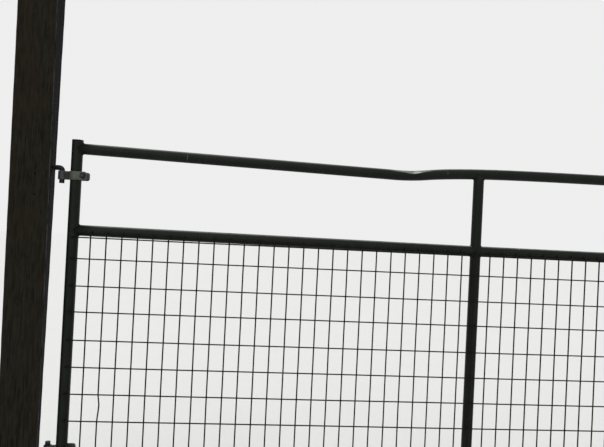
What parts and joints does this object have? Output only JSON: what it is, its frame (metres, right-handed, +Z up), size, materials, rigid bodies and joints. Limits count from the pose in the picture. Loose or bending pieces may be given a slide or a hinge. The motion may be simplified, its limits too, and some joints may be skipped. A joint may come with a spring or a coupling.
{
  "type": "wire-filled tube gate",
  "caption": "Long farm gate of round steel tube with welded wire mesh below an open band, hung by bolted strap hinges on hooks in a squared timber post.",
  "frame": {"origin": "middle of the hinge post's foot, at ground level", "axes": "+X along the shut gate from the hinge post to the latch post, +Z up, -Y the wired face"},
  "size_m": [5.1763, 0.1748, 2.2],
  "materials": {
    "tube_paint": "weathered semi-gloss",
    "mesh_wire": "weathered, rusty brown",
    "strap_steel": "dull galvanised",
    "bolt_steel": "dull galvanised",
    "hook_steel": "dull, darkened",
    "post_timber": "rough sawn, weathered dark"
  },
  "bodies": {
    "posts": {"hinge_post": "post_timber", "latch_post": "post_timber", "upper_hook": "hook_steel", "lower_hook": "hook_steel"},
    "gate": {"hinge_stile": "tube_paint", "latch_stile": "tube_paint", "stile_caps": "tube_paint", "top_rail": "tube_paint", "second_rail": "tube_paint", "bottom_rail": "tube_paint", "upper_brace_1": "tube_paint", "upper_brace_2": "tube_paint", "lower_brace_1": "tube_paint", "lower_brace_2": "tube_paint", "mesh_hinge_bay": "mesh_wire", "mesh_middle_bay": "mesh_wire", "mesh_latch_bay": "mesh_wire", "upper_strap": "strap_steel", "lower_strap": "strap_steel", "upper_bolt": "bolt_steel", "lower_bolt": "bolt_steel", "upper_nut": "bolt_steel", "lower_nut": "bolt_steel"}
  },
  "joints": [
    {"name": "gate_swing", "type": "hinge", "parent": "posts", "child": "gate", "pos_m": [0.106, 0, 0.8], "axis": [0, 0, 1], "range_deg": [-75, 90]}
  ]
}
